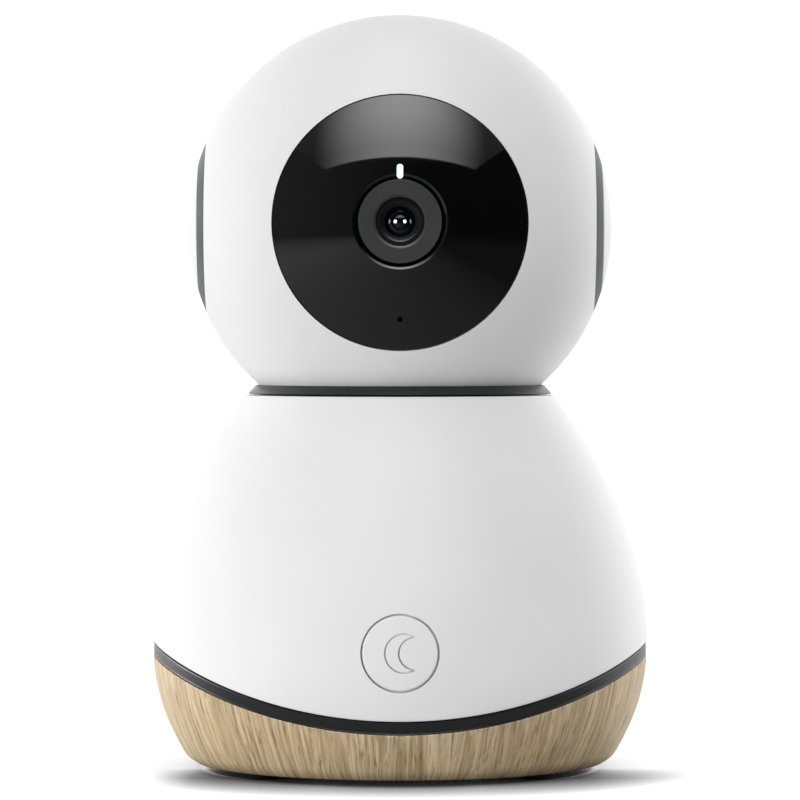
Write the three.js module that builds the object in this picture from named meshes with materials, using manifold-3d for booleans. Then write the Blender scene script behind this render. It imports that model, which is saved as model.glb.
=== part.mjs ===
// Desk security camera with a motorised ball head: millimetres, +Z up, front towards -Y,
// origin on the table under the middle of the base.
import * as THREE from "three";
import { mergeVertices } from "three/addons/utils/BufferGeometryUtils.js";
import Module from "manifold-3d";

const wasm = await Module();
wasm.setup();

// ---- Driving dimensions ----
const HEIGHT = 160;
const HEAD_R = 45; // ball head
const HEAD_WALL = 2.4;
const TILT_Z = HEIGHT - HEAD_R; // tilt axis, through the middle of the ball
const BODY_R = 52.8; // widest radius of body and base
const WIDEST_Z = 25.5;
const BODY_TOP_Z = 79.5;
const BODY_TOP_R = 32.8;
const BODY_WALL = 2.4;
const SOLE_INSET = 8.2; // how far the outline pulls in below the widest height
const FOOT_H = 1.7;
const FOOT_R = 3.2;
const FOOT_X = 28.3;
const FOOT_Y = 25;
const COVER_R = 41.4; // bottom cover
const BASE_Z = 1.5; // underside of the wooden ring
const SEAM_R = 110; // the seam is a cut by a level cylinder that runs front to back
const SEAM_Z = 124; // height of that cylinder's axis
const BAND_H = 2.65;
const GAP = 0.2; // between parts that touch
const FACE_R = 26.3; // dark window in the front of the ball
const FACE_WALL = 1.8;
const PIVOT_RECESS_R = 18.4; // round recess at each end of the tilt axis
const PIVOT_RECESS_X = 40; // its floor
const PIVOT_CAP_R = 13.8;
const TRUNNION_R = 6;
const WINDOW_HALF_WIDTH = 10; // slot in the rear shell that the yoke passes through
const WINDOW_FROM_DEG = 1; // slot ends, in degrees backwards from straight down
const WINDOW_TO_DEG = 80;
const GEAR_MODULE = 0.6;
const PAN_TEETH = 48;
const TILT_TEETH = 36;
const PINION_TEETH = 12;
const PAN_CENTRES = ((PAN_TEETH + PINION_TEETH) * GEAR_MODULE) / 2;
const TILT_CENTRES = ((TILT_TEETH + PINION_TEETH) * GEAR_MODULE) / 2;
const BUTTON_R = 7.7;
const BUTTON_Z = 28;
const SOCKET_Z = 20.65;
const BOARD_TOP_Z = 19;
const DECK_Z = 56;
const DECK_H = 2.5;
const POST_R = 33; // circle of the posts that hold the main board
const BASE_SCREW_R = 38.4;
const DECK_SCREW_R = 36.8;
const RESET_X = 14;
const SPEAKER_Z = 40;
const SPEAKER_SLOTS = [[-8, 14], [-4, 20], [0, 22], [4, 20], [8, 14]]; // height from the middle, width
const MOTOR_EAR_X = 13;
const PAN_GEAR_Z = [60, 64.2];
const ARM_X = [31.5, 34.7]; // inner and outer face of each arm of the yoke
const LENS_HOLE_R = 9.5;
const BEZEL_R = 8.4;
const SHUTTER_R = [39, 40.1]; // plate behind the slot, inner and outer radius
const TILT_GEAR_X = [35.5, 37.8];
const LIGHT_W = 1.5; // status light: the slot's width, its lower end and its upper end above the lens
const LIGHT_Z = [8.8, 12.1];
const MIC_DROP = 19.7; // microphone hole below the middle of the lens
const CABLE_R = 0.9;
const ROUND = 40; // sides of a large turned part
const SMALL_ROUND = 16;

// Angles of three screws or posts, evenly spaced, and the place of each on its circle.
const thirds = (deg) => [deg, deg + 120, deg + 240].map((d) => THREE.MathUtils.degToRad(d));
const BOARD_POSTS = thirds(30);
const SCREWS = thirds(90);
const polar = (r, a, z = 0) => [r * Math.cos(a), r * Math.sin(a), z];

// ---- Materials ----
const paint = (color, roughness, metalness = 0) =>
  new THREE.MeshStandardMaterial({ color, roughness, metalness });
const whiteAbs = paint("#ececec", 0.5);
const graphite = paint("#3a3a3c", 0.5);
const blackGloss = paint("#0b0b0c", 0.08);
const oak = paint("#c9ac83", 0.6);
const rubber = paint("#17171a", 0.85);
const steel = paint("#9b9da1", 0.35, 1);
const brass = paint("#c2a052", 0.35, 1);
const acetal = paint("#e6e1d4", 0.4);
const boardGreen = paint("#1d5c3a", 0.5);
const chipBlack = paint("#1a1a1c", 0.6);
const aluminium = paint("#b9bcc0", 0.4, 1);
const lensGlass = paint("#101820", 0.03);
const ledLight = paint("#dffcff", 0.2);
const coneBlack = paint("#222225", 0.8);

// ---- Solids ----
// A closed three.js geometry as a manifold-3d solid, with its faces turned outwards.
function solid(geometry) {
  const bare = new THREE.BufferGeometry();
  bare.setAttribute("position", geometry.getAttribute("position"));
  bare.setIndex(geometry.index);
  const merged = mergeVertices(bare, 1e-4);
  const vertProperties = merged.attributes.position.array;
  const triVerts = new Uint32Array(merged.index.array);
  const made = new wasm.Manifold(new wasm.Mesh({ numProp: 3, vertProperties, triVerts }));
  if (made.volume() > 0) return made;
  triVerts.reverse();
  return new wasm.Manifold(new wasm.Mesh({ numProp: 3, vertProperties, triVerts }));
}

function geometryOf(manifold) {
  const { vertProperties, triVerts } = manifold.getMesh();
  const geometry = new THREE.BufferGeometry();
  geometry.setAttribute("position", new THREE.BufferAttribute(vertProperties, 3));
  geometry.setIndex(new THREE.BufferAttribute(triVerts, 1));
  return geometry;
}

// The ways a shape built along +Z can be turned.
const turns = {
  up: (g) => g,
  front: (g) => g.rotateX(Math.PI / 2), // +Z becomes -Y
  back: (g) => g.rotateX(-Math.PI / 2), // +Z becomes +Y
  right: (g) => g.rotateY(Math.PI / 2), // +Z becomes +X
  left: (g) => g.rotateY(-Math.PI / 2), // +Z becomes -X
};

// A closed [radius, height] profile turned about an axis.
function turned(profile, sides = ROUND, way = "up") {
  const points = [...profile, profile[0]].map(([r, h]) => new THREE.Vector2(r, h));
  return solid(turns[way](new THREE.LatheGeometry(points, sides).rotateX(Math.PI / 2)));
}

function cylinder(r, from, to, sides = SMALL_ROUND, way = "up") {
  const profile = [
    [0, from],
    [r, from],
    [r, to],
    [0, to],
  ];
  return turned(profile, sides, way);
}

function ring(inner, outer, from, to, sides = SMALL_ROUND, way = "up") {
  const profile = [
    [inner, from],
    [outer, from],
    [outer, to],
    [inner, to],
  ];
  return turned(profile, sides, way);
}

function box([x0, x1], [y0, y1], [z0, z1]) {
  const g = new THREE.BoxGeometry(x1 - x0, y1 - y0, z1 - z0);
  return solid(g.translate((x0 + x1) / 2, (y0 + y1) / 2, (z0 + z1) / 2));
}

// A closed outline of [a, b] points, extruded from one height to another.
function prism(outline, from, to, place) {
  const shape = new THREE.Shape(outline.map(([a, b]) => new THREE.Vector2(a, b)));
  const g = new THREE.ExtrudeGeometry(shape, { depth: to - from, bevelEnabled: false });
  return solid(place(g.translate(0, 0, from)));
}

// Outlines drawn in the front view (x, z) and in the side view (y, z).
const inFrontView = (g) => g.rotateX(Math.PI / 2);
const inSideView = (g) => g.rotateZ(Math.PI / 2).rotateY(Math.PI / 2);

function ball(r, sides, rows) {
  const profile = [];
  for (let i = 0; i <= rows; i++) {
    const a = -Math.PI / 2 + (Math.PI * i) / rows;
    profile.push([i % rows === 0 ? 0 : r * Math.cos(a), r * Math.sin(a)]);
  }
  return turned(profile, sides);
}

// Part of a ring between two radii, from one angle to another, as an outline.
function sector(inner, outer, fromDeg, toDeg, steps) {
  const outline = [];
  const at = (r, i) => {
    const a = THREE.MathUtils.degToRad(fromDeg + ((toDeg - fromDeg) * i) / steps);
    return [r * Math.sin(a), -r * Math.cos(a)];
  };
  for (let i = 0; i <= steps; i++) outline.push(at(outer, i));
  for (let i = steps; i >= 0; i--) outline.push(at(inner, i));
  return outline;
}

// Round bar along a smooth route.
function cable(route, r) {
  const path = new THREE.CatmullRomCurve3(route.map((p) => new THREE.Vector3(...p)));
  const section = new THREE.Shape();
  for (let i = 0; i < 8; i++) {
    const a = (Math.PI * 2 * i) / 8;
    section[i ? "lineTo" : "moveTo"](r * Math.cos(a), r * Math.sin(a));
  }
  section.closePath();
  const steps = Math.round(path.getLength() / (5 * r));
  return solid(new THREE.ExtrudeGeometry(section, { steps, extrudePath: path }));
}

// Involute spur gear about +Z. The backlash thins each tooth.
function gear(teeth, bore, from, to, phase = 0) {
  const pitchR = (teeth * GEAR_MODULE) / 2;
  const baseR = pitchR * Math.cos(THREE.MathUtils.degToRad(20));
  const tipR = pitchR + 0.9 * GEAR_MODULE;
  const rootR = pitchR - 1.25 * GEAR_MODULE;
  const backlash = 0.16;
  const involute = (r) => {
    const t = Math.sqrt(Math.max(0, (r / baseR) ** 2 - 1));
    return t - Math.atan(t);
  };
  const halfAtPitch = Math.PI / (2 * teeth) - backlash / (2 * pitchR);
  const halfAt = (r) => halfAtPitch + involute(pitchR) - involute(r);
  const shape = new THREE.Shape();
  for (let i = 0; i < teeth; i++) {
    const middle = phase + (2 * Math.PI * i) / teeth;
    const flank = [rootR, pitchR, tipR];
    const side = (r, sign) => [r, middle + sign * halfAt(r)];
    const around = [...flank.map((r) => side(r, -1)), ...flank.reverse().map((r) => side(r, 1))];
    around.forEach(([r, a], j) =>
      shape[i + j ? "lineTo" : "moveTo"](r * Math.cos(a), r * Math.sin(a)),
    );
  }
  shape.closePath();
  const g = new THREE.ExtrudeGeometry(shape, { depth: to - from, bevelEnabled: false });
  return solid(g.translate(0, 0, from)).subtract(cylinder(bore, from - 1, to + 1, 24));
}

const camera = new THREE.Group();
function add(parent, name, material, made) {
  const mesh = new THREE.Mesh(geometryOf(made), material);
  mesh.name = name;
  parent.add(mesh);
  return mesh;
}

// ---- The outline of body and base ----
// Two parabolas that meet, upright, at the widest height.
function bodyRadius(z) {
  const rise = (z - WIDEST_Z) / (BODY_TOP_Z - WIDEST_Z);
  const fall = (WIDEST_Z - z) / (WIDEST_Z - BASE_Z);
  return z > WIDEST_Z
    ? BODY_R - (BODY_R - BODY_TOP_R) * rise ** 2
    : BODY_R - SOLE_INSET * fall ** 2;
}

function bodyLine(inset, from, to, steps) {
  const line = [];
  for (let i = 0; i <= steps; i++) {
    const z = from + ((to - from) * i) / steps;
    line.push([bodyRadius(z) - inset, z]);
  }
  return line;
}

// Everything above the seam, lowered by a distance measured square to it.
function aboveSeam(lowered) {
  const r = SEAM_R + lowered;
  const outline = [];
  const half = Math.asin(60 / r);
  const steps = 14;
  for (let i = 0; i <= steps; i++) {
    const a = -half + (2 * half * i) / steps;
    outline.push([r * Math.sin(a), SEAM_Z - r * Math.cos(a)]);
  }
  outline.push([60, 100], [-60, 100]);
  return prism(outline, -60, 60, inFrontView);
}

// ---- Base ----
function woodenRing() {
  const profile = [
    [COVER_R + 0.3, BASE_Z],
    [42.8, BASE_Z],
    [44.4, BASE_Z + 0.45],
    ...bodyLine(0.2, 3.2, 28, 5),
    ...bodyLine(3.8, 28, 8, 3),
    [35.6, 7],
    [35.6, 4.5],
    [COVER_R + 0.3, 4.5],
  ];
  let wood = turned(profile).subtract(aboveSeam(BAND_H));
  const drill = cylinder(1.2, 4, 6.7, 12);
  for (const a of SCREWS) wood = wood.subtract(drill.translate(polar(BASE_SCREW_R, a)));
  return wood;
}

function trimBand() {
  const profile = [...bodyLine(0.45, 8, 30, 4), ...bodyLine(3.2, 30, 8, 4)];
  return turned(profile)
    .intersect(aboveSeam(BAND_H - GAP))
    .subtract(aboveSeam(GAP));
}

function basePlate() {
  let plate = cylinder(COVER_R, FOOT_H, 4.2, ROUND);
  // Each post ends in a pin that passes through the board.
  const post = cylinder(2.3, 4, 17.2, 12).add(cylinder(0.9, 17, BOARD_TOP_Z + 0.8, 12));
  for (const a of BOARD_POSTS) plate = plate.add(post.translate(polar(POST_R, a)));
  const screwHole = cylinder(1.3, 0, 5, 12).add(cylinder(2.5, 0, 2.9, 12));
  for (const a of SCREWS) plate = plate.subtract(screwHole.translate(polar(BASE_SCREW_R, a)));
  for (const x of [-12, -6, 0, 6, 12]) plate = plate.subtract(box([x - 1, x + 1], [-6, 6], [0, 5]));
  return plate;
}

function screw(headR, headH, shankR, length) {
  const profile = [
    [0, 0],
    [headR, 0],
    [headR, headH],
    [shankR, headH],
    [shankR, length],
    [0, length],
  ];
  const driver = box([-0.35, 0.35], [-headR * 0.6, headR * 0.6], [-1, headH * 0.5]);
  const turnedDriver = box([-headR * 0.6, headR * 0.6], [-0.35, 0.35], [-1, headH * 0.5]);
  return turned(profile, 10).subtract(driver).subtract(turnedDriver);
}

function mainBoard() {
  let board = cylinder(42, BOARD_TOP_Z - 1.6, BOARD_TOP_Z, ROUND);
  board = board.add(box([-10, 18], [36, 48.4], [BOARD_TOP_Z - 1.6, BOARD_TOP_Z]));
  board = board.intersect(cylinder(48.4, 0, 40, ROUND));
  const pinHole = cylinder(1.2, 10, 25, 12);
  for (const a of BOARD_POSTS) board = board.subtract(pinHole.translate(polar(POST_R, a)));
  return board;
}

function buildBase() {
  const footProfile = [[0, 0], [FOOT_R - 0.3, 0], [FOOT_R, 0.4], [FOOT_R, FOOT_H], [0, FOOT_H]];
  const foot = turned(footProfile, 16);
  for (const [side, x] of [["left", -FOOT_X], ["right", FOOT_X]]) {
    add(camera, `foot_front_${side}`, rubber, foot.translate([x, -FOOT_Y, 0]));
    add(camera, `foot_rear_${side}`, rubber, foot.translate([x, FOOT_Y, 0]));
  }
  add(camera, "wood_base_ring", oak, woodenRing());
  add(camera, "trim_band", rubber, trimBand());
  add(camera, "base_plate", graphite, basePlate());
  const baseScrew = screw(2.2, 1, 1.1, 4.6);
  SCREWS.forEach((a, i) =>
    add(camera, `base_screw_${i + 1}`, steel, baseScrew.translate(polar(BASE_SCREW_R, a, 1.8))),
  );
  add(camera, "ballast_plate", steel, ring(14, 30, 4.4, 8.6, 28));
  add(camera, "main_board", boardGreen, mainBoard());
  const onBoard = [BOARD_TOP_Z + 0.1, BOARD_TOP_Z + 2.5];
  add(camera, "wifi_module", aluminium, box([-30, -14], [-2, 10], onBoard));
  buildPowerSocket();
  buildResetSwitch();
  buildSpeaker();
  buildButton();
}

function roundedSlot(width, height, from, to, steps = 5) {
  const r = height / 2;
  const outline = [];
  for (const [cx, start] of [[width / 2 - r, -90], [r - width / 2, 90]])
    for (let i = 0; i <= steps; i++) {
      const a = THREE.MathUtils.degToRad(start + (180 * i) / steps);
      outline.push([cx + r * Math.cos(a), r * Math.sin(a)]);
    }
  return prism(outline, -to, -from, inFrontView); // runs from y = from to y = to
}

function buildPowerSocket() {
  const at = [0, 0, SOCKET_Z];
  const shell = roundedSlot(8.9, 3.2, 42, 50.4).subtract(roundedSlot(8.3, 2.6, 43, 52));
  const tongue = box([-3.2, 3.2], [42.5, 48.9], [-0.35, 0.35]);
  add(camera, "power_socket", steel, shell.add(tongue).translate(at));
}

function buildResetSwitch() {
  const can = box([RESET_X - 2.2, RESET_X + 2.2], [40.4, 44.6], [BOARD_TOP_Z + 0.1, SOCKET_Z + 1.6]);
  add(camera, "reset_switch", chipBlack, can);
  const plunger = cylinder(0.75, 45.1, 48.6, 12, "back");
  add(camera, "reset_plunger", acetal, plunger.translate([RESET_X, 0, SOCKET_Z]));
}

function buildSpeaker() {
  const at = [0, 0, SPEAKER_Z];
  const basketBack = [[0, 33], [7, 33], [7, 37], [13.9, 40.6], [13.9, 42.6]];
  const basketInside = [[12.6, 42.6], [12.6, 41.2], [6, 38.2], [0, 38.2]];
  const basket = turned([...basketBack, ...basketInside], 24, "back");
  add(camera, "speaker_basket", steel, basket.translate(at));
  const coneBack = [[0, 40.2], [3.6, 39.4], [5.8, 38.7], [11.8, 41.6], [12.3, 42.5]];
  const coneFront = [[11.6, 42.5], [5.6, 39.6], [3.4, 40.3], [0, 41.2]];
  const cone = turned([...coneBack, ...coneFront], 24, "back");
  add(camera, "speaker_cone", coneBlack, cone.translate(at));
}

// ---- Front button: a cap with a retaining flange, over a switch on its own board ----
function buildButton() {
  const skin = turned([[0, 10], ...bodyLine(0.1, 10, 46, 10), [0, 46]], 80);
  const cap = skin
    .intersect(cylinder(BUTTON_R, 48.4, 56, 28, "front").translate([0, 0, BUTTON_Z]))
    .add(cylinder(9, 47.4, 48.6, 28, "front").translate([0, 0, BUTTON_Z]))
    .add(cylinder(1.6, 45.3, 47.5, 12, "front").translate([0, 0, BUTTON_Z]));
  add(camera, "front_button", whiteAbs, cap);
  const buttonSwitch = box([-3, 3], [-44.3, -40.2], [BUTTON_Z - 3, BUTTON_Z + 3]);
  add(camera, "button_switch", chipBlack, buttonSwitch);
  const board = box([-8, 8], [-40, -38.4], [BOARD_TOP_Z + 0.1, BUTTON_Z + 8]);
  add(camera, "button_board", boardGreen, board);
}

// ---- Body ----
function bodyShell() {
  const profile = [
    ...bodyLine(0, 8, BODY_TOP_Z - 0.6, 10),
    [BODY_TOP_R - 0.25, BODY_TOP_Z - 0.15],
    [BODY_TOP_R - 0.7, BODY_TOP_Z],
    [30.3, BODY_TOP_Z],
    [30.3, BODY_TOP_Z - 1.6],
    ...bodyLine(BODY_WALL, BODY_TOP_Z - 2.4, 8, 5),
  ];
  let shell = turned(profile).intersect(aboveSeam(0));
  const post = cylinder(2.4, DECK_Z + DECK_H + GAP, 66.5, 12);
  const drill = cylinder(1, 50, 64.6, 12);
  for (const a of SCREWS) {
    const at = polar(DECK_SCREW_R, a);
    shell = shell.add(post.translate(at)).subtract(drill.translate(at));
  }
  const buttonHole = cylinder(BUTTON_R + 0.3, 40, 60, 28, "front");
  shell = shell.subtract(buttonHole.translate([0, 0, BUTTON_Z]));
  shell = shell.subtract(roundedSlot(9.6, 3.9, 44, 60).translate([0, 0, SOCKET_Z]));
  shell = shell.subtract(cylinder(1.1, 40, 60, 12, "back").translate([RESET_X, 0, SOCKET_Z]));
  const inside = turned([[0, 20], ...bodyLine(1, 20, 70, 6), [0, 70]]);
  const speakerSeat = ring(14.3, 15.6, 40.8, 60, 28, "back").translate([0, 0, SPEAKER_Z]);
  shell = shell.add(speakerSeat.intersect(inside));
  for (const [z, width] of SPEAKER_SLOTS)
    shell = shell.subtract(roundedSlot(width, 1.6, 40, 60, 3).translate([0, 0, SPEAKER_Z + z]));
  return shell;
}

function motorDeck() {
  let deck = cylinder(41.6, DECK_Z, DECK_Z + DECK_H, ROUND);
  deck = deck.subtract(cylinder(7.8, 50, 60, 24));
  deck = deck.subtract(cylinder(3.4, 50, 60, 16).translate([0, -PAN_CENTRES, 0]));
  const screwHole = cylinder(1.3, 50, 60, 12);
  for (const a of SCREWS) deck = deck.subtract(screwHole.translate(polar(DECK_SCREW_R, a)));
  const earHole = cylinder(0.9, 50, 60, 12);
  for (const x of [-MOTOR_EAR_X, MOTOR_EAR_X])
    deck = deck.subtract(earHole.translate([x, -PAN_CENTRES, 0]));
  return deck;
}

// A geared stepper motor with its mounting face at height 0 and its can below.
function motorCan(r, depth, earX) {
  let can = cylinder(r, -depth, 0, 28);
  can = can.add(box([-earX - 2.6, earX + 2.6], [-2.6, 2.6], [-1, 0]));
  can = can.add(box([-4, 4], [r - 2, r + 2.4], [-depth + 1.5, -depth + 8]));
  for (const x of [-earX, earX]) can = can.subtract(cylinder(1, -3, 1, 12).translate([x, 0, 0]));
  return can.add(cylinder(2.6, -1, 0.8, 16));
}

function buildBody() {
  add(camera, "body_shell", whiteAbs, bodyShell());
  add(camera, "motor_deck", graphite, motorDeck());
  const deckScrew = screw(2.1, 1.1, 0.9, 9);
  SCREWS.forEach((a, i) =>
    add(camera, `deck_screw_${i + 1}`, steel, deckScrew.translate(polar(DECK_SCREW_R, a, DECK_Z - 1.3))),
  );
  const bush = ring(6.2, 7.6, 54, 58.8, 24).add(ring(6.2, 10.5, 58.7, 59.7, 24));
  add(camera, "pan_bush", acetal, bush);
  const motorAt = [0, -PAN_CENTRES, DECK_Z - 0.2];
  const can = motorCan(9.8, 15, MOTOR_EAR_X).rotate([0, 0, 180]);
  add(camera, "pan_motor", steel, can.subtract(cylinder(1.2, -5, 5, 16)).translate(motorAt));
  const earScrew = screw(1.7, 0.8, 0.75, 4);
  for (const [side, x] of [["left", -MOTOR_EAR_X], ["right", MOTOR_EAR_X]]) {
    const at = [x, -PAN_CENTRES, DECK_Z - 2.2];
    add(camera, `pan_motor_screw_${side}`, steel, earScrew.translate(at));
  }
}

// ---- Pan drive ----
const HALF_TOOTH = Math.PI / PINION_TEETH; // a pinion stands half a tooth on, so that it meshes
function buildPanDrive() {
  const shaft = cylinder(1, DECK_Z - 4, PAN_GEAR_Z[1] + 0.2, 12);
  const pinion = gear(PINION_TEETH, 0.9, ...PAN_GEAR_Z, Math.PI / 2 + HALF_TOOTH).add(shaft);
  add(camera, "pan_pinion", brass, pinion.translate([0, -PAN_CENTRES, 0]));
  add(camera, "pan_gear", acetal, gear(PAN_TEETH, 6.2, ...PAN_GEAR_Z, -Math.PI / 2));
  const clip = ring(5.6, 7.6, 53.1, 53.7, 24).subtract(box([-2, 2], [0, 12], [50, 55]));
  add(camera, "pan_clip", steel, clip);
  const profile = [
    [3.6, 50.5],
    [6, 50.5],
    [6, 52.9],
    [5.4, 52.9],
    [5.4, 53.9],
    [6, 53.9],
    [6, 64.5],
    [29.8, 64.5],
    [29.8, 79.8],
    [31.8, 79.8],
    [30.5, 81.4],
    [30.25, 81.4],
    [28.5, 79.4],
    [28.5, 67],
    [3.6, 67],
  ];
  add(camera, "turntable", graphite, turned(profile));
}

// ---- Yoke: rises behind the ball's low point and carries the tilt axis ----
// Heights and depths in the head are measured from the tilt axis.
const head = new THREE.Group();
head.position.z = TILT_Z;
camera.add(head);

function yoke() {
  const armTop = [[-8, -3], [-8, 4], [-4, 8], [6, 8], [19.5, 5], [20.5, -3]];
  const arm = [...armTop, [16, -16], [11, -16], [-2, -8.5]];
  const stemFront = [[11.5, -11], [11.5, -16], [21.5, -29.5], [21.5, -45.6], [10, -45.6], [10, -47.7]];
  const stemRear = [[25.5, -47.7], [25.5, -28], [16, -12], [16, -11]];
  let made = prism([...stemFront, ...stemRear], -9, 9, inSideView);
  made = made.add(box([-ARM_X[1], ARM_X[1]], [11.5, 16], [-16, -11]));
  for (const [way, from] of [["right", ARM_X[0]], ["left", -ARM_X[1]]]) {
    made = made.add(prism(arm, from, from + ARM_X[1] - ARM_X[0], inSideView));
    made = made.add(cylinder(TRUNNION_R, ARM_X[0] + 1, PIVOT_RECESS_X + 0.1, 20, way));
    made = made.subtract(cylinder(1.1, ARM_X[0] - 1, 42, 12, way));
  }
  // The cable runs in a groove up the front of the stem.
  const groove = [[9, -48.5], [24, -48.5], [24, -29], [20.5, -24], [15, -24], [15, -45], [9, -45]];
  made = made.subtract(prism(groove, -1.4, 1.4, inSideView));
  return made.subtract(cylinder(3.4, ARM_X[0] - 1, 36, 16, "right").translate([0, TILT_CENTRES, 0]));
}

function buildYoke() {
  add(head, "yoke", graphite, yoke());
  const shutter = sector(...SHUTTER_R, 41.4, 106, 12);
  add(head, "rear_shutter", graphite, prism(shutter, -12, 12, inSideView));
  for (const side of ["left", "right"]) {
    add(head, `pivot_ring_${side}`, graphite, pivotRing(side));
    add(head, `pivot_cap_${side}`, whiteAbs, pivotCap(side));
  }
  const motor = motorCan(9, 14, 0.1).rotate([0, 90, 0]);
  const hole = cylinder(1.2, ARM_X[0] - 6, ARM_X[0] + 2, 16, "right");
  const bored = motor.translate([ARM_X[0] - 0.2, 0, 0]).subtract(hole);
  add(head, "tilt_motor", steel, bored.translate([0, TILT_CENTRES, 0]));
  const [near, far] = TILT_GEAR_X;
  const shaft = cylinder(1, ARM_X[0] - 4, far, 12);
  const pinion = gear(PINION_TEETH, 0.9, near, far - 0.2, Math.PI / 2 + HALF_TOOTH).add(shaft);
  add(head, "tilt_pinion", brass, pinion.rotate([0, 90, 0]).translate([0, TILT_CENTRES, 0]));
}

// Points on a ball of radius r, between two distances from the axis.
function dome(r, fromR, toR, steps) {
  const line = [];
  for (let i = 0; i <= steps; i++) {
    const across = fromR + ((toR - fromR) * i) / steps;
    line.push([across, Math.sqrt(r * r - across * across)]);
  }
  return line;
}

function pivotRing(way) {
  // A pin on the ring is pressed into the bore of the trunnion.
  const profile = [
    [0, 33],
    [0.9, 33],
    [0.9, PIVOT_RECESS_X + 0.3],
    [PIVOT_RECESS_R - 0.4, PIVOT_RECESS_X + 0.3],
    ...dome(HEAD_R, PIVOT_RECESS_R - 0.4, PIVOT_CAP_R + 0.05, 2),
    [PIVOT_CAP_R + 0.05, 42.4],
    [0, 42.4],
  ];
  return turned(profile, 28, way);
}

function pivotCap(way) {
  const r = PIVOT_CAP_R - 0.15;
  return turned([[0, 42.6], [r, 42.6], ...dome(HEAD_R, r, 0, 4)], 28, way);
}

// ---- Ball head ----
function ballShell() {
  const outer = ball(HEAD_R, ROUND, 20);
  let shell = outer.subtract(ball(HEAD_R - HEAD_WALL, 32, 12));
  shell = shell.add(cylinder(28.4, 32.5, 50, 32, "front").intersect(outer)); // seat for the window
  for (const way of ["left", "right"]) {
    shell = shell.add(cylinder(PIVOT_RECESS_R + 2, 38, 40.5, 24, way).intersect(outer));
    shell = shell.subtract(cylinder(PIVOT_RECESS_R, PIVOT_RECESS_X, 50, 28, way));
    shell = shell.subtract(cylinder(TRUNNION_R + 0.25, 30, 50, 20, way));
  }
  shell = shell.subtract(cylinder(24.4, 20, 50, 32, "front"));
  const seat = [...dome(HEAD_R - FACE_WALL - GAP, 0, FACE_R, 4), [FACE_R, 50], [0, 50]];
  shell = shell.subtract(turned(seat, ROUND, "front"));
  const slot = sector(38, 50, WINDOW_FROM_DEG, WINDOW_TO_DEG, 10);
  return shell.subtract(prism(slot, -WINDOW_HALF_WIDTH, WINDOW_HALF_WIDTH, inSideView));
}

function buildHead() {
  const shell = ballShell();
  add(head, "head_front_shell", whiteAbs, shell.intersect(box([-50, 50], [-50, -0.1], [-50, 50])));
  add(head, "head_rear_shell", whiteAbs, shell.intersect(box([-50, 50], [0.1, 50], [-50, 50])));
  const tiltGear = gear(TILT_TEETH, TRUNNION_R + 0.4, ...TILT_GEAR_X, Math.PI / 2);
  add(head, "tilt_gear", acetal, tiltGear.rotate([0, 90, 0]));
  buildFace();
  buildCameraModule();
}

function faceWindow() {
  const edge = FACE_R - 0.25;
  const profile = [
    ...dome(HEAD_R - 0.05, LENS_HOLE_R, edge, 5),
    ...dome(HEAD_R - FACE_WALL, edge, LENS_HOLE_R, 3),
  ];
  const slot = box([-LIGHT_W / 2, LIGHT_W / 2], [-50, -40], LIGHT_Z);
  return turned(profile, ROUND, "front")
    .subtract(slot)
    .subtract(cylinder(0.5, 30, 50, 10, "front").translate([0, 0, -MIC_DROP]));
}

function buildFace() {
  add(head, "face_window", blackGloss, faceWindow());
  const bezel = [[BEZEL_R, 32], [BEZEL_R, 44.25], [5.25, 44.1], [5.25, 43.2], [6.5, 42.4], [6.5, 32]];
  add(head, "lens_bezel", graphite, turned(bezel, 28, "front"));
  const half = LIGHT_W / 2 - 0.1;
  const guide = box([-half, half], [-44.3, -42.6], [LIGHT_Z[0], LIGHT_Z[1] - 0.15]);
  add(head, "status_light_guide", ledLight, guide);
  const mic = cylinder(2, 33.2, 36.4, 14, "front").translate([0, 0, -MIC_DROP]);
  add(head, "microphone", steel, mic);
}

function buildCameraModule() {
  const plate = ring(6.7, 28, 29.8, 31.4, 28, "front");
  let infrared = ring(8.8, 23.2, 31.7, 32.9, 28, "front");
  for (let i = 0; i < 6; i++) {
    const a = (Math.PI * i) / 3 + Math.PI / 2;
    const led = turned([[0, 32.5], [2.4, 32.5], [2.4, 35.6], [0, 37.3]], 8, "front");
    infrared = infrared.add(led.translate([15.5 * Math.sin(a), 0, 15.5 * Math.cos(a)]));
  }
  add(head, "camera_bracket", graphite, plate);
  add(head, "infrared_board", boardGreen, infrared);
  const holder = box([-8.5, 8.5], [-29.6, -19.6], [-8.5, 8.5]);
  const bored = holder
    .subtract(cylinder(6.2, 21.5, 40, 24, "front"))
    .subtract(box([-5.5, 5.5], [-25, -18], [-5.5, 5.5]));
  add(head, "lens_holder", chipBlack, bored);
  const barrelOutside = [[0, 22.5], [6, 22.5], [6, 38.8], [5.1, 39.4], [5.1, 42.2]];
  const barrelFront = [[4.6, 42.2], [3.9, 40.6], [3.9, 40], [0, 40]];
  add(head, "lens_barrel", chipBlack, turned([...barrelOutside, ...barrelFront], 24, "front"));
  const glass = [[0, 40.2], [3.7, 40.2], [3.3, 41.1], [2.2, 41.8], [1.1, 42.1], [0, 42.2]];
  add(head, "lens_front_glass", lensGlass, turned(glass, 24, "front"));
  add(head, "image_sensor", chipBlack, box([-4, 4], [-20.8, -19.6], [-4, 4]));
  add(head, "camera_board", boardGreen, cylinder(22, 17.9, 19.4, 36, "front"));
}

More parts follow.
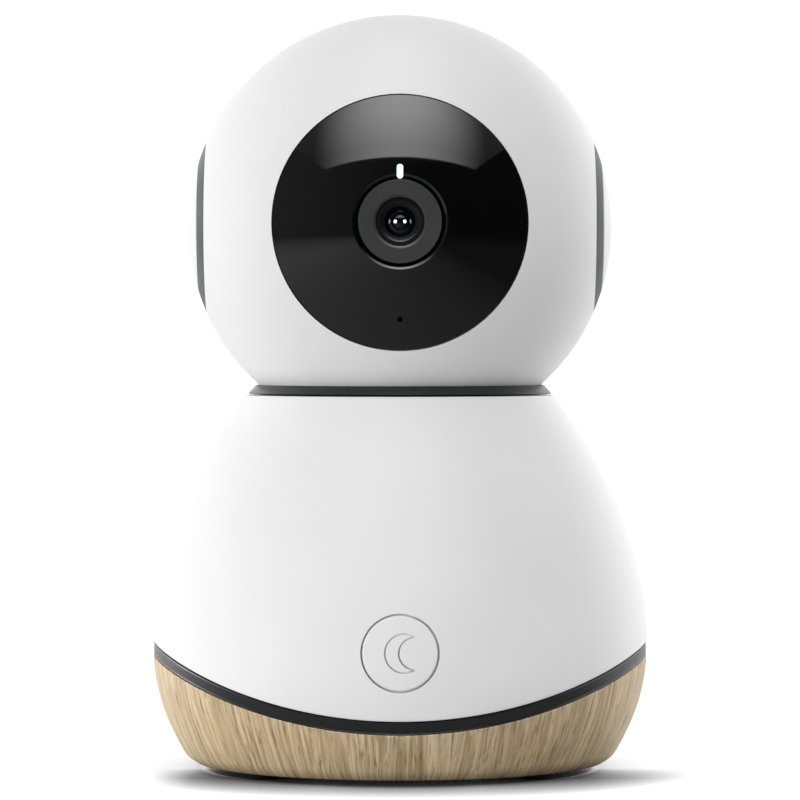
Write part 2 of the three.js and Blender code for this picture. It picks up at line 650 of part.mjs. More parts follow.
// ---- Cable: three lengths that meet on the pan axis and on the tilt axis ----
function buildCable() {
  const rise = [[12, 6, 20.2], [11, 5.5, 26], [5, 2.5, 36], [0, 0, 46], [0, 0, 54], [0, 0, 61.9]];
  add(camera, "base_cable", rubber, cable(rise, CABLE_R));
  const outOfPivot = [[0, 0, 62.2], [0, 0, 63.6], [0, 0.6, 66], [0, 2.6, 68.1], [0, 8, 68.6]];
  const upStem = [[0, 17, 68.4], [0, 21.6, 69.8], [0, 22.5, 74], [0, 22.3, 84], [0, 18.5, 89], [1, 10, 96]];
  const toTiltAxis = [[4, 4, 105], [9, 0.8, 112], [9, 0, 114.8], [6, 0, TILT_Z], [0.2, 0, TILT_Z]];
  add(camera, "pan_cable", rubber, cable([...outOfPivot, ...upStem, ...toTiltAxis], CABLE_R));
  const alongTiltAxis = [[-0.2, 0, 0], [-6, 0, 0], [-10, -2, 0]];
  const toBoard = [[-13, -8, -1], [-13.5, -13, -1], [-13.5, -17.6, -1]];
  add(head, "head_cable", rubber, cable([...alongTiltAxis, ...toBoard], CABLE_R));
}

buildBase();
buildBody();
buildPanDrive();
buildYoke();
buildHead();
buildCable();

export default camera;
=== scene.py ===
# A desk security camera with a ball head on a round body: the looks of every piece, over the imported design.
import math

import bmesh
import bpy
from mathutils import Matrix, Vector


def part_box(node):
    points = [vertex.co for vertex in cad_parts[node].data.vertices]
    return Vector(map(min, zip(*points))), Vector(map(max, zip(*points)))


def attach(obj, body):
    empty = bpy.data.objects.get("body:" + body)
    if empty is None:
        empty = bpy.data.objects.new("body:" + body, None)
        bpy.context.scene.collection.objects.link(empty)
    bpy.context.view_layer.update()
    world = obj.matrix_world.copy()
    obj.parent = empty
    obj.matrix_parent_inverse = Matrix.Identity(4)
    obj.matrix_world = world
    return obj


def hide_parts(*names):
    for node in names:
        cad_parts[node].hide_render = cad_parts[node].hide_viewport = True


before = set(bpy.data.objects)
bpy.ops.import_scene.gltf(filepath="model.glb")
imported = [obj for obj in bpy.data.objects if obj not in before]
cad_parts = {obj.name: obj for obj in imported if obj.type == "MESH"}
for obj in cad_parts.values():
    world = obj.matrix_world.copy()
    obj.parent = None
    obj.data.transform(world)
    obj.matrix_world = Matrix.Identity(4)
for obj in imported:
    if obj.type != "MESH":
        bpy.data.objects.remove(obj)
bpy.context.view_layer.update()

# ---- Sizes of the design, in millimetres ----
MM = 0.001


def middle(node):
    """The middle of a node of the design, in millimetres."""
    low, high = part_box(node)
    return (low + high) / (2 * MM)


HEAD_R = 45.0
TILT_Z = middle("face_window").z
HEAD_CENTRE = Vector((0, 0, TILT_Z)) * MM
FACE_R = 26.3  # the round opening for the dark window
RECESS_R = 18.5  # the round recess at each end of the tilt axis
RECESS_X = 40.0
TRUNNION_HOLE_R = 6.3
CAP_R = 13.7
SHELL_WALL = 2.2
SLOT_HALF_WIDTH = 10.0  # the slot in the ball's rear half that the neck's arm passes through
SLOT_FROM_DEG = 1.2  # its ends, in degrees backwards from straight down
SLOT_TO_DEG = 80.0
BODY_R = 52.7
BODY_WALL = 2.4
WIDEST_Z = 25.5
BODY_TOP_Z = 79.5
BODY_TOP_R = 32.7
SOLE_Z = 1.5
SOLE_INSET = 7.9
FOOT_CORNER_Z = 4.0  # below this the wood is rounded under
SEAM_R = 110.0  # the seam is cut by a level cylinder that runs from front to back
SEAM_Z = 124.0
BAND_H = 2.65
BUTTON_R = 7.6
BUTTON_GAP = 0.38
BUTTON_Z = middle("front_button").z
MOON_R = 3.9  # outer arc of the crescent on the button
MOON_INNER_R = 3.2
MOON_SHIFT = 2.1
MOON_LINE = 0.34
SOCKET_Z = middle("power_socket").z
RESET_X = middle("reset_plunger").x
SPEAKER_Z = middle("speaker_basket").z
SPEAKER_SLOTS = ((-8, 14), (-4, 20), (0, 22), (4, 20), (8, 14))  # height from the middle, width
COVER_R = 41.4
VENT_PITCH = 6
LENS_HOLE_R = 9.25
BEZEL_R = 8.5
MIC_DROP = 19.85  # microphone hole, below the middle of the lens
LIGHT_RISE = 10.17  # middle of the status light, above the middle of the lens
FEET = ("front_left", "rear_left", "front_right", "rear_right")
COVER_SCREWS = (1, 2, 3)
CAMERA_LENS = 189
CAMERA_DISTANCE = 0.895  # in metres, as is its height
CAMERA_HEIGHT = 0.0910
CAMERA_DIP_DEG = 0.82


# ---- Materials ----
def linear(code):
    """A hex sRGB colour as linear red, green, blue and alpha."""
    parts = [int(code[i : i + 2], 16) / 255 for i in (1, 3, 5)]
    return [c / 12.92 if c <= 0.04045 else ((c + 0.055) / 1.055) ** 2.4 for c in parts] + [1.0]


def add(tree, kind, settings=None, stops=(), into=None, **inputs):
    """Adds one node with its settings and links, or feeds the node given as into.

    A name in inputs is a socket's name, with _ for a space, or its number as n0, n1. A value that is a node
    means its first output. Stops are the (place, colour) pairs of a colour ramp.
    """
    made = into or tree.nodes.new("ShaderNode" + kind)
    for name, value in (settings or {}).items():
        setattr(made, name, value)
    for _ in stops[2:]:
        made.color_ramp.elements.new(0.5)
    for element, (place, code) in zip(made.color_ramp.elements if stops else (), stops):
        element.position = place
        element.color = linear(code)
    for name, value in inputs.items():
        number = name[0] == "n" and name[1:].isdigit()
        socket = made.inputs[int(name[1:]) if number else name.replace("_", " ")]
        if isinstance(value, bpy.types.Node):
            value = value.outputs[0]
        if isinstance(value, bpy.types.NodeSocket):
            tree.links.new(value, socket)
        else:
            socket.default_value = value
    return made


def new_material(name, code, roughness, metallic=0.0, **sockets):
    """A material with its shader's sockets set. Returns it, its tree, its shader and its coordinates."""
    made = bpy.data.materials.new(name)
    made.use_nodes = True
    tree = made.node_tree
    shader = tree.nodes["Principled BSDF"]
    add(tree, "", into=shader, Base_Color=linear(code), Roughness=roughness, Metallic=metallic, **sockets)
    return made, tree, shader, add(tree, "TexCoord").outputs["Object"]


def moulded_white_abs():
    # White ABS from a spark-eroded mould: an even satin whose fine grain spreads every highlight, so that
    # the surface reads as soft and almost matt. The real grain is about 0.1 mm; it is drawn at 0.5 mm to show.
    made, tree, shader, place = new_material(
        "Moulded white ABS", "#e6e6e6", 0.5, IOR=1.5, Specular_IOR_Level=0.3)
    grain = add(tree, "TexNoise", Vector=place, Scale=1 / (0.5 * MM), Detail=2.0)
    cloud = add(tree, "TexNoise", Vector=place, Scale=1 / (28 * MM), Detail=2.0)
    tone = add(tree, "ValToRGB", stops=((0.3, "#e4e4e4"), (0.7, "#e8e8e8")), Fac=cloud)
    satin = add(tree, "MapRange", Value=cloud, n1=0.3, n2=0.7, n3=0.46, n4=0.55)
    relief = add(tree, "Bump", Height=grain, Distance=0.01 * MM)
    add(tree, "", into=shader, Base_Color=tone, Roughness=satin, Normal=relief)
    return made


def dark_plastic(name, code, shine, dull, grain_mm, depth_mm, **sockets):
    # Shared by the moulded dark pieces: a fine eroded grain, and a polish that changes slowly across it.
    made, tree, shader, place = new_material(name, code, (shine + dull) / 2, IOR=1.5, **sockets)
    grain = add(tree, "TexNoise", Vector=place, Scale=1 / (grain_mm * MM), Detail=3.0)
    cloud = add(tree, "TexNoise", Vector=place, Scale=1 / (9 * MM), Detail=2.0)
    satin = add(tree, "MapRange", Value=cloud, n1=0.3, n2=0.7, n3=shine, n4=dull)
    relief = add(tree, "Bump", Height=grain, Distance=depth_mm * MM)
    add(tree, "", into=shader, Roughness=satin, Normal=relief)
    return made


def infrared_acrylic():
    # Black acrylic that lets infrared through: deep black, a polished face, and the faintest swell in it.
    made, tree, shader, place = new_material("Polished black acrylic", "#070708", 0.05, IOR=1.45)
    swell = add(tree, "TexNoise", Vector=place, Scale=1 / (9 * MM), Detail=1.0)
    cloud = add(tree, "TexNoise", Vector=place, Scale=1 / (14 * MM), Detail=2.0)
    polish = add(tree, "MapRange", Value=cloud, n1=0.3, n2=0.7, n3=0.035, n4=0.06)
    relief = add(tree, "Bump", Height=swell, Distance=0.001 * MM)
    add(tree, "", into=shader, Roughness=polish, Normal=relief)
    return made


def oiled_oak():
    # Straight-grained light oak, oiled: upright pale fibre about a millimetre wide, broader growth bands
    # that wander a little, and short dark pores. The real fibre is 0.3 mm; it is drawn coarser to show.
    made, tree, shader, place = new_material("Oiled oak", "#bda986", 0.5, IOR=1.45, Specular_IOR_Level=0.85)
    flat = add(tree, "VectorMath", {"operation": "MULTIPLY"}, n0=place, n1=(1, 1, 0))
    toward = add(tree, "VectorMath", {"operation": "NORMALIZE"}, n0=flat)
    # Every point is read on an upright cylinder 50 mm in radius, so the grain runs down the ring's slope.
    wrapped = add(tree, "VectorMath", {"operation": "SCALE"}, n0=toward, Scale=50 * MM)
    upright = add(tree, "VectorMath", {"operation": "MULTIPLY_ADD"}, n0=place, n1=(0, 0, 0.35), n2=wrapped)
    drift = add(tree, "TexNoise", Vector=upright, Scale=1 / (9 * MM), Detail=2.0)
    sideways = add(tree, "VectorMath", {"operation": "SCALE"}, n0=drift.outputs[1], Scale=2.6 * MM)
    bent = add(tree, "VectorMath", {"operation": "ADD"}, n0=wrapped, n1=sideways)
    long_grain = add(tree, "VectorMath", {"operation": "MULTIPLY_ADD"}, n0=place, n1=(0, 0, 0.02), n2=bent)
    short_grain = add(tree, "VectorMath", {"operation": "MULTIPLY_ADD"}, n0=place, n1=(0, 0, 0.09), n2=bent)
    bands = add(tree, "TexNoise", Vector=long_grain, Scale=1 / (4.5 * MM), Detail=3.0)
    fibre = add(tree, "TexNoise", Vector=long_grain, Scale=1 / (0.75 * MM), Detail=6.0, Roughness=0.7)
    pores = add(tree, "TexNoise", Vector=short_grain, Scale=1 / (0.5 * MM), Detail=2.0)
    band_tone = add(tree, "ValToRGB", stops=((0.32, "#9e8864"), (0.5, "#b9a27d"), (0.66, "#ccb793")),
                    Fac=bands)
    fibre_tone = add(tree, "ValToRGB", stops=((0.34, "#7c6543"), (0.5, "#bea782"), (0.64, "#e4d2b0")),
                     Fac=fibre)
    mixed = add(tree, "Mix", {"data_type": "RGBA"}, n0=0.62, n6=band_tone, n7=fibre_tone.outputs[0])
    pore = add(tree, "MapRange", Value=pores, n1=0.34, n2=0.42, n3=0.55, n4=0.0)
    colour = add(tree, "Mix", {"data_type": "RGBA"}, n0=pore, n6=mixed.outputs[2], n7=linear("#5f4a2e"))
    sheen = add(tree, "MapRange", Value=fibre, n1=0.3, n2=0.7, n3=0.42, n4=0.6)
    relief = add(tree, "Bump", Height=fibre, Distance=0.06 * MM, Strength=0.7)
    add(tree, "", into=shader, Base_Color=colour.outputs[2], Roughness=sheen, Normal=relief)
    return made


def worked_metal(name, code, shine, dull, stretch=(1, 1, 1), scratch_mm=0.4, depth_mm=0.006):
    # Shared by the metal pieces: tool marks that may be drawn out along one direction.
    made, tree, shader, place = new_material(name, code, (shine + dull) / 2, 1.0)
    along = add(tree, "Mapping", Vector=place, Scale=stretch)
    marks = add(tree, "TexNoise", Vector=along, Scale=1 / (scratch_mm * MM), Detail=4.0)
    polish = add(tree, "MapRange", Value=marks, n1=0.3, n2=0.7, n3=shine, n4=dull)
    relief = add(tree, "Bump", Height=marks, Distance=depth_mm * MM)
    add(tree, "", into=shader, Roughness=polish, Normal=relief)
    return made


def circuit_board():
    # Green solder mask over copper: tracks stand a little proud under it, with gold vias about 3 mm apart.
    made, tree, shader, place = new_material("Green solder mask", "#14532f", 0.32, IOR=1.5)
    tracks = add(tree, "TexBrick", {"offset": 0.37}, Vector=place, Scale=1 / (9 * MM), Mortar_Size=0.035,
                 Color1=linear("#124a2a"), Color2=linear("#175a35"), Mortar=linear("#1f7444"))
    dots = add(tree, "TexVoronoi", Vector=place, Scale=1 / (3.2 * MM))
    via = add(tree, "MapRange", Value=dots, n1=0.1, n2=0.13, n3=1.0, n4=0.0)
    colour = add(tree, "Mix", {"data_type": "RGBA"}, n0=via, n6=tracks, n7=linear("#b99a4a"))
    relief = add(tree, "Bump", Height=tracks.outputs[1], Distance=0.04 * MM)
    add(tree, "", into=shader, Base_Color=colour.outputs[2], Metallic=via, Normal=relief)
    return made


def coated_glass():
    # Ground and coated glass over a black inside: almost black, with a violet to green tint that turns with
    # the angle, and sharp small highlights.
    made, tree, shader, place = new_material("Coated lens glass", "#06070c", 0.03, IOR=1.35)
    facing = add(tree, "LayerWeight", Blend=0.35)
    tint = add(tree, "ValToRGB", stops=((0.0, "#070913"), (0.45, "#140d22"), (1.0, "#0c1d18")),
               Fac=facing.outputs["Facing"])
    swell = add(tree, "TexNoise", Vector=place, Scale=1 / (3 * MM), Detail=1.0)
    relief = add(tree, "Bump", Height=swell, Distance=0.0003 * MM)
    add(tree, "", into=shader, Base_Color=tint, Normal=relief)
    return made


def lit_light_guide():
    # Clear acrylic with a frosted end, lit from behind: white in the middle and cyan towards its sides.
    made, tree, shader, place = new_material("Lit acrylic light guide", "#dff6f6", 0.35, IOR=1.49)
    across = add(tree, "SeparateXYZ", n0=place)
    side = add(tree, "Math", {"operation": "ABSOLUTE"}, n0=across)
    spread = add(tree, "MapRange", Value=side, n1=0.2 * MM, n2=0.7 * MM)
    frost = add(tree, "TexNoise", Vector=place, Scale=1 / (0.8 * MM), Detail=1.0)
    dimmed = add(tree, "Math", {"operation": "MULTIPLY_ADD"}, n0=frost, n1=0.3, n2=spread)
    glow = add(tree, "ValToRGB", stops=((0.1, "#f4ffff"), (0.6, "#c4f4f2"), (1.0, "#7fdcda")), Fac=dimmed)
    add(tree, "", into=shader, Emission_Color=glow, Emission_Strength=0.85)
    return made


def woven_cloth():
    # Acoustic cloth behind the speaker slots: a plain black weave. Real threads are 0.2 mm apart; they are
    # drawn at 0.9 mm to show.
    made, tree, shader, place = new_material("Woven acoustic cloth", "#0d0d0e", 0.9, Sheen_Weight=0.3)
    thread_scale = 1 / (0.9 * MM * 2 * math.pi)
    across = add(tree, "TexWave", {"bands_direction": "X"}, Vector=place, Scale=thread_scale)
    upward = add(tree, "TexWave", {"bands_direction": "Z"}, Vector=place, Scale=thread_scale)
    weave = add(tree, "Math", {"operation": "MULTIPLY"}, n0=across.outputs[1], n1=upward.outputs[1])
    thread = add(tree, "ValToRGB", stops=((0.1, "#060606"), (0.9, "#242426")), Fac=weave)
    relief = add(tree, "Bump", Height=weave, Distance=0.2 * MM)
    add(tree, "", into=shader, Base_Color=thread, Normal=relief)
    return made


def pressed_paper():
    # Pressed paper cone: matte black with long soft fibres.
    made, tree, shader, place = new_material("Pressed paper cone", "#1b1b1d", 0.85)
    fibres = add(tree, "TexNoise", Vector=place, Scale=1 / (1.2 * MM), Detail=6.0, Distortion=2.0)
    tone = add(tree, "ValToRGB", stops=((0.3, "#131314"), (0.7, "#2a2a2c")), Fac=fibres)
    relief = add(tree, "Bump", Height=fibres, Distance=0.08 * MM)
    add(tree, "", into=shader, Base_Color=tone, Normal=relief)
    return made


white_abs = moulded_white_abs()
oak = oiled_oak()
acrylic = infrared_acrylic()
board = circuit_board()
glass = coated_glass()
light_guide = lit_light_guide()
cloth = woven_cloth()
paper = pressed_paper()
# Charcoal ABS, lightly textured: flat and even, so that the bezel round the lens reads as plain dark grey.
charcoal_abs = dark_plastic("Moulded charcoal ABS", "#303031", 0.45, 0.55, 0.5, 0.008)
# The pivot trim is painted: a mid grey with a silk sheen.
painted_grey = dark_plastic("Silk grey paint", "#4a4b4d", 0.45, 0.55, 0.5, 0.006, Specular_IOR_Level=0.3)
# Silk black ABS, for the trim band and the turntable's rim: grey only where a lamp grazes it.
silk_black = dark_plastic("Silk black ABS", "#0e1012", 0.3, 0.4, 0.6, 0.006)
# Glass-filled nylon: flat and slightly rough, with specks of fibre.
black_nylon = dark_plastic("Glass-filled black nylon", "#1b1b1d", 0.5, 0.66, 0.8, 0.03)
# Silicone rubber: matte and a little dusty.
rubber = dark_plastic("Silicone rubber", "#131315", 0.75, 0.9, 0.7, 0.02)
# Anodised barrel: deep black that catches thin rings of light on its turned steps.
barrel_black = dark_plastic(
    "Black anodised aluminium", "#09090a", 0.36, 0.44, 0.5, 0.002, Specular_IOR_Level=0.3)
# Acetal: waxy off-white.
acetal = dark_plastic("Natural acetal", "#e3decf", 0.3, 0.42, 1.5, 0.006)
# Epoxy chip package: dull and finely pitted.
epoxy = dark_plastic("Black epoxy package", "#18181a", 0.55, 0.7, 0.4, 0.01)
# Nickel plate on screws and clips: bright, with short scratches.
plated_steel = worked_metal("Nickel-plated steel", "#a7a8ab", 0.22, 0.4)
# Drawn steel cans and the socket's shell: brushed upwards.
drawn_steel = worked_metal("Brushed drawn steel", "#9a9ca0", 0.25, 0.42, (1, 1, 0.08), 0.5)
# Sand-cast zinc ballast: grey and coarse.
cast_zinc = worked_metal("Sand-cast zinc", "#83868a", 0.45, 0.65, (1, 1, 1), 1.6, 0.05)
# Rolled aluminium shield: fine lines along X.
aluminium = worked_metal("Rolled aluminium", "#b8bbbf", 0.28, 0.42, (0.1, 1, 1), 0.5)
# Hobbed brass pinions: yellow, with lines left by the cutter.
brass = worked_metal("Hobbed brass", "#bf9b4a", 0.25, 0.4, (1, 1, 0.1), 0.35)

# What each inner piece of the design that is kept as it stands is made of.
NODE_FINISHES = {
    black_nylon: ("motor_deck", "yoke", "camera_bracket"),
    cast_zinc: ("ballast_plate",),
    board: ("main_board", "button_board", "infrared_board", "camera_board"),
    aluminium: ("wifi_module",),
    drawn_steel: ("speaker_basket", "pan_motor", "tilt_motor"),
    epoxy: ("reset_switch", "button_switch", "lens_holder", "image_sensor", "microphone"),
    paper: ("speaker_cone",),
    acetal: ("pan_bush", "reset_plunger", "pan_gear", "tilt_gear"),
    rubber: ("base_cable", "pan_cable", "head_cable"),
    brass: ("pan_pinion", "tilt_pinion"),
    plated_steel: ("pan_clip", "deck_screw_1", "deck_screw_2", "deck_screw_3", "pan_motor_screw_left",
                   "pan_motor_screw_right"),
}
for finish, node_names in NODE_FINISHES.items():
    for node_name in node_names:
        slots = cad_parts[node_name].data.materials
        slots.clear()
        slots.append(finish)

# ---- Shapes ----
# How a profile of (radius, height) lies for each way an axis can point, and that axis.
WAYS = {
    "up": (lambda r, h: (r, 0, h), (0, 0, 1)),
    "front": (lambda r, h: (r, -h, 0), (0, -1, 0)),
    "back": (lambda r, h: (r, h, 0), (0, 1, 0)),
    "right": (lambda r, h: (h, 0, -r), (1, 0, 0)),
    "left": (lambda r, h: (-h, 0, -r), (-1, 0, 0)),
}


def cleaned(bm):
    """Merges doubled vertices, then turns every face outwards."""
    bmesh.ops.remove_doubles(bm, verts=bm.verts, dist=0.002 * MM)
    bmesh.ops.recalc_face_normals(bm, faces=bm.faces)
    return bm


def turned(profile, way="up", steps=128, sweep=360.0, start=0.0, closed=False, centre=(0, 0, 0)):
    """Turns a profile of (radius, height) in millimetres about an axis."""
    place, axis = WAYS[way]
    bm = bmesh.new()
    verts = [bm.verts.new(Vector(place(r, h)) * MM) for r, h in profile]
    edges = [bm.edges.new(pair) for pair in zip(verts, verts[1:])]
    if closed:
        edges.append(bm.edges.new((verts[-1], verts[0])))
    spun = verts + edges
    if sweep < 360 and closed:
        spun.append(bm.faces.new(verts))
    bmesh.ops.rotate(bm, verts=verts, cent=(0, 0, 0), matrix=Matrix.Rotation(math.radians(start), 3, axis))
    bmesh.ops.spin(bm, geom=spun, cent=(0, 0, 0), axis=axis, angle=math.radians(sweep), steps=steps,
                   use_merge=sweep == 360)
    cleaned(bm)
    bmesh.ops.translate(bm, verts=bm.verts, vec=Vector(centre))
    return bm


def dome(radius, from_r, to_r, steps):
    """Points on a ball, evenly spaced, between two distances from the axis."""
    first, last = math.asin(from_r / radius), math.asin(to_r / radius)
    turns = [first + (last - first) * i / steps for i in range(steps + 1)]
    return [(radius * math.sin(a), radius * math.cos(a)) for a in turns]


def rod(radius, low, high, way, centre, steps):
    return turned([(0, low), (radius, low), (radius, high), (0, high)], way, steps, centre=centre)


def rounded_bar(width, height, corner, y_low, y_high, centre):
    """A bar with rounded corners that runs from one y to another, with its middle at (x, z)."""
    bm = bmesh.new()
    bmesh.ops.create_grid(bm, x_segments=1, y_segments=1, size=0.5)
    bmesh.ops.scale(bm, verts=bm.verts, vec=(width * MM, height * MM, 1))
    bmesh.ops.bevel(bm, geom=bm.verts[:], offset=corner * MM, segments=8, profile=0.5, affect="VERTICES",
                    material=-1)
    bmesh.ops.rotate(bm, verts=bm.verts, matrix=Matrix.Rotation(math.radians(90), 3, "X"))
    grown = bmesh.ops.extrude_face_region(bm, geom=bm.faces[:])
    moved = [v for v in grown["geom"] if isinstance(v, bmesh.types.BMVert)]
    bmesh.ops.translate(bm, verts=moved, vec=(0, (y_high - y_low) * MM, 0))
    bmesh.ops.translate(bm, verts=bm.verts, vec=Vector((centre[0], y_low, centre[1])) * MM)
    return cleaned(bm)


def joined(*parts):
    """Several separate solids as one mesh."""
    whole = parts[0]
    for part in parts[1:]:
        mesh = bpy.data.meshes.new("work")
        part.to_mesh(mesh)
        part.free()
        whole.from_mesh(mesh)
        bpy.data.meshes.remove(mesh)
    return whole


def cut(bm, cutter):
    """Takes the cutter away from a solid."""
    objects = []
    for source in (bm, cutter):
        mesh = bpy.data.meshes.new("work")
        source.to_mesh(mesh)
        source.free()
        objects.append(bpy.data.objects.new("work", mesh))
        bpy.context.scene.collection.objects.link(objects[-1])
    taking = objects[0].modifiers.new("Cut", "BOOLEAN")
    taking.operation = "DIFFERENCE"
    taking.solver = "EXACT"
    taking.object = objects[1]
    result = objects[0].evaluated_get(bpy.context.evaluated_depsgraph_get()).to_mesh()
    made = bmesh.new()
    made.from_mesh(result)
    for used in objects:
        mesh = used.data
        bpy.data.objects.remove(used)
        bpy.data.meshes.remove(mesh)
    return made


def piece(name, bm, finish, body, stands_for=(), rounding=0.0, sharp=32.0):
    """Makes the object, gives it its material, and fixes it to a body of the design.

    Edges sharper than the angle are rounded, or stay crisp where no rounding is given.
    """
    mesh = bpy.data.meshes.new(name)
    bm.to_mesh(mesh)
    bm.free()
    mesh.materials.append(finish)
    made = bpy.data.objects.new(name, mesh)
    bpy.context.scene.collection.objects.link(made)
    mesh.shade_smooth()
    if rounding:
        rounded = made.modifiers.new("Rounded edges", "BEVEL")
        rounded.width = rounding * MM
        rounded.segments = 2
        rounded.limit_method = "ANGLE"
        rounded.angle_limit = math.radians(sharp)
        rounded.harden_normals = True
    else:
        mesh.set_sharp_from_angle(angle=math.radians(sharp))
    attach(made, body)
    if stands_for:
        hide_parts(*stands_for)
    return made


# ---- The outline of body and base ----
def outline(z):
    """Radius of the body and base at a height."""
    if z > WIDEST_Z:
        return BODY_R - (BODY_R - BODY_TOP_R) * ((z - WIDEST_Z) / (BODY_TOP_Z - WIDEST_Z)) ** 2
    return BODY_R - SOLE_INSET * ((WIDEST_Z - z) / (WIDEST_Z - SOLE_Z)) ** 2


def seam(lowered):
    """The height of the seam at a distance x to the side, lowered square to itself."""
    return lambda x: SEAM_Z - math.sqrt((SEAM_R + lowered) ** 2 - x * x)


def level(z):
    """A height that is the same at every x."""
    return lambda x: z


def wrapped(top, bottom, radius, rows, steps=240):
    """A wall that follows a radius between two heights, each of which may change with x."""
    bm = turned([(1000, 1000 * i / rows) for i in range(rows + 1)], "up", steps)

    def height_at(limit, direction):
        z = limit(40)
        for _ in range(8):
            z = limit(radius(z) * direction)
        return z

    for v in bm.verts:
        low, high = height_at(bottom, v.co.x), height_at(top, v.co.x)
        z = low + (high - low) * v.co.z
        v.co = Vector((v.co.x * radius(z), v.co.y * radius(z), z)) * MM
    bmesh.ops.recalc_face_normals(bm, faces=bm.faces)
    return bm


def middle_of(edge):
    return (edge.verts[0].co + edge.verts[1].co) / 2


def closed_inwards(bm, low_depth, high_depth):
    """Gives a wall its thickness: both rims grow level towards the axis, and their inner edges are joined.

    The two depths may differ only where the whole of one rim lies lower than the other.
    """
    middle_z = sum(v.co.z for v in bm.verts) / len(bm.verts)
    loose = [e for e in bm.edges if e.is_boundary]
    low_rim = [e for e in loose if all(z < middle_z for z in (e.verts[0].co.z, middle_of(e).z))]
    high_rim = [e for e in loose if e not in set(low_rim)]
    inner = []
    for rim, depth in ((low_rim, low_depth), (high_rim, high_depth)):
        grown = bmesh.ops.extrude_edge_only(bm, edges=rim)["geom"]
        for v in (g for g in grown if isinstance(g, bmesh.types.BMVert)):
            reach = math.hypot(v.co.x, v.co.y)
            keep = (reach - depth * MM) / reach
            v.co.x *= keep
            v.co.y *= keep
        inner += [g for g in grown if isinstance(g, bmesh.types.BMEdge)]
    bmesh.ops.bridge_loops(bm, edges=inner)
    bmesh.ops.recalc_face_normals(bm, faces=bm.faces)
    return bm


# ---- Base ----
def foot_corner(z):
    """The wooden ring's radius, which pulls in faster and faster towards the floor."""
    fall = max(0.0, (FOOT_CORNER_Z - z) / (FOOT_CORNER_Z - SOLE_Z))
    return outline(z) - 0.2 - 1.3 * fall**2.4


def make_base():
    wood = closed_inwards(wrapped(seam(BAND_H + 0.12), level(SOLE_Z), foot_corner, 44), 0.9, 3.6)
    piece("oak_ring", wood, oak, "base", ["wood_base_ring"], 0.3, 40)
    band = closed_inwards(wrapped(seam(0.15), seam(BAND_H - 0.1), lambda z: outline(z) - 0.35, 6), 3.0, 3.0)
    piece("black_trim", band, silk_black, "base", ["trim_band"], 0.25, 40)
    for place in FEET:
        at = middle("foot_" + place)
        sole = [(0, 0.15), (1.9, 0.15), (2.0, 0), (2.7, 0), (3.05, 0.15), (3.2, 0.5)]
        profile = sole + [(3.2, 1.7), (0, 1.7)]
        foot = turned(profile, "up", 40, centre=(at.x * MM, at.y * MM, 0))
        piece("pad_" + place, foot, rubber, "base", ["foot_" + place], sharp=50)
    make_underside()


def make_underside():
    """The bottom cover with its vent slots and countersunk screws."""
    r = COVER_R
    plate = turned([(0, 1.7), (r - 0.3, 1.7), (r, 2.0), (r, 4.2), (0, 4.2)], "up", 128)
    holes = []
    for i in range(-2, 3):
        # A vent slot, made front to back and then laid to run up through the cover.
        hole = rounded_bar(2, 12, 0.95, -4, 4, (0, 0))
        bmesh.ops.rotate(hole, verts=hole.verts, matrix=Matrix.Rotation(math.radians(90), 3, "X"))
        bmesh.ops.translate(hole, verts=hole.verts, vec=(i * VENT_PITCH * MM, 0, 3 * MM))
        holes.append(hole)
    for number in COVER_SCREWS:
        at = middle(f"base_screw_{number}")
        profile = [(0, 1), (2.6, 1), (2.6, 2.9), (1.2, 2.9), (1.2, 6), (0, 6)]
        holes.append(turned(profile, "up", 32, centre=(at.x * MM, at.y * MM, 0)))
    cover = cut(plate, joined(*holes))
    piece("bottom_cover", cover, black_nylon, "base", ["base_plate"], sharp=30)
    for number in COVER_SCREWS:
        make_cover_screw(number)


def make_cover_screw(number):
    at = middle(f"base_screw_{number}")
    head = [(0, 0), (1.5, 0), (2.0, 0.15), (2.2, 0.45), (2.2, 1.0), (1.1, 1.0), (1.1, 4.6), (0, 4.6)]
    centre = Vector((at.x, at.y, 1.8)) * MM
    screw = turned(head, "up", 32, centre=centre)
    for turn in (0, 90):
        bar = bmesh.new()
        bmesh.ops.create_cube(bar, size=1)
        bmesh.ops.scale(bar, verts=bar.verts, vec=(2.5 * MM, 0.55 * MM, 1.2 * MM))
        bmesh.ops.rotate(bar, verts=bar.verts, matrix=Matrix.Rotation(math.radians(turn), 3, "Z"))
        bmesh.ops.translate(bar, verts=bar.verts, vec=centre)
        screw = cut(screw, bar)
    piece(f"cover_screw_{number}", screw, plated_steel, "base", [f"base_screw_{number}"], sharp=30)


# ---- Body ----
def make_body():
    shell = wrapped(level(BODY_TOP_Z), seam(0), outline, 72)
    bmesh.ops.solidify(shell, geom=shell.faces[:], thickness=BODY_WALL * MM)
    rims = [e for e in shell.edges if e.calc_face_angle(0) > math.radians(50)]
    top_rim = [e for e in rims if e.verts[0].co.z > (BODY_TOP_Z - 1) * MM]
    for edges, size in ((top_rim, 0.5), ([e for e in rims if e not in set(top_rim)], 0.4)):
        bmesh.ops.bevel(shell, geom=edges, offset=size * MM, segments=4, profile=0.5, affect="EDGES",
                        material=-1, clamp_overlap=True)
    openings = [
        rod(BUTTON_R + BUTTON_GAP, 40, 60, "front", (0, 0, BUTTON_Z * MM), 96),
        rounded_bar(9.8, 4.1, 2.0, 44, 60, (0, SOCKET_Z)),
        rod(1.1, 40, 60, "back", (RESET_X * MM, 0, SOCKET_Z * MM), 32),
    ]
    openings += [rounded_bar(width, 1.6, 0.79, 42, 60, (0, SPEAKER_Z + z)) for z, width in SPEAKER_SLOTS]
    shell = cut(shell, joined(*openings))
    piece("white_body", shell, white_abs, "base", ["body_shell"], sharp=28)
    make_button()
    make_back()


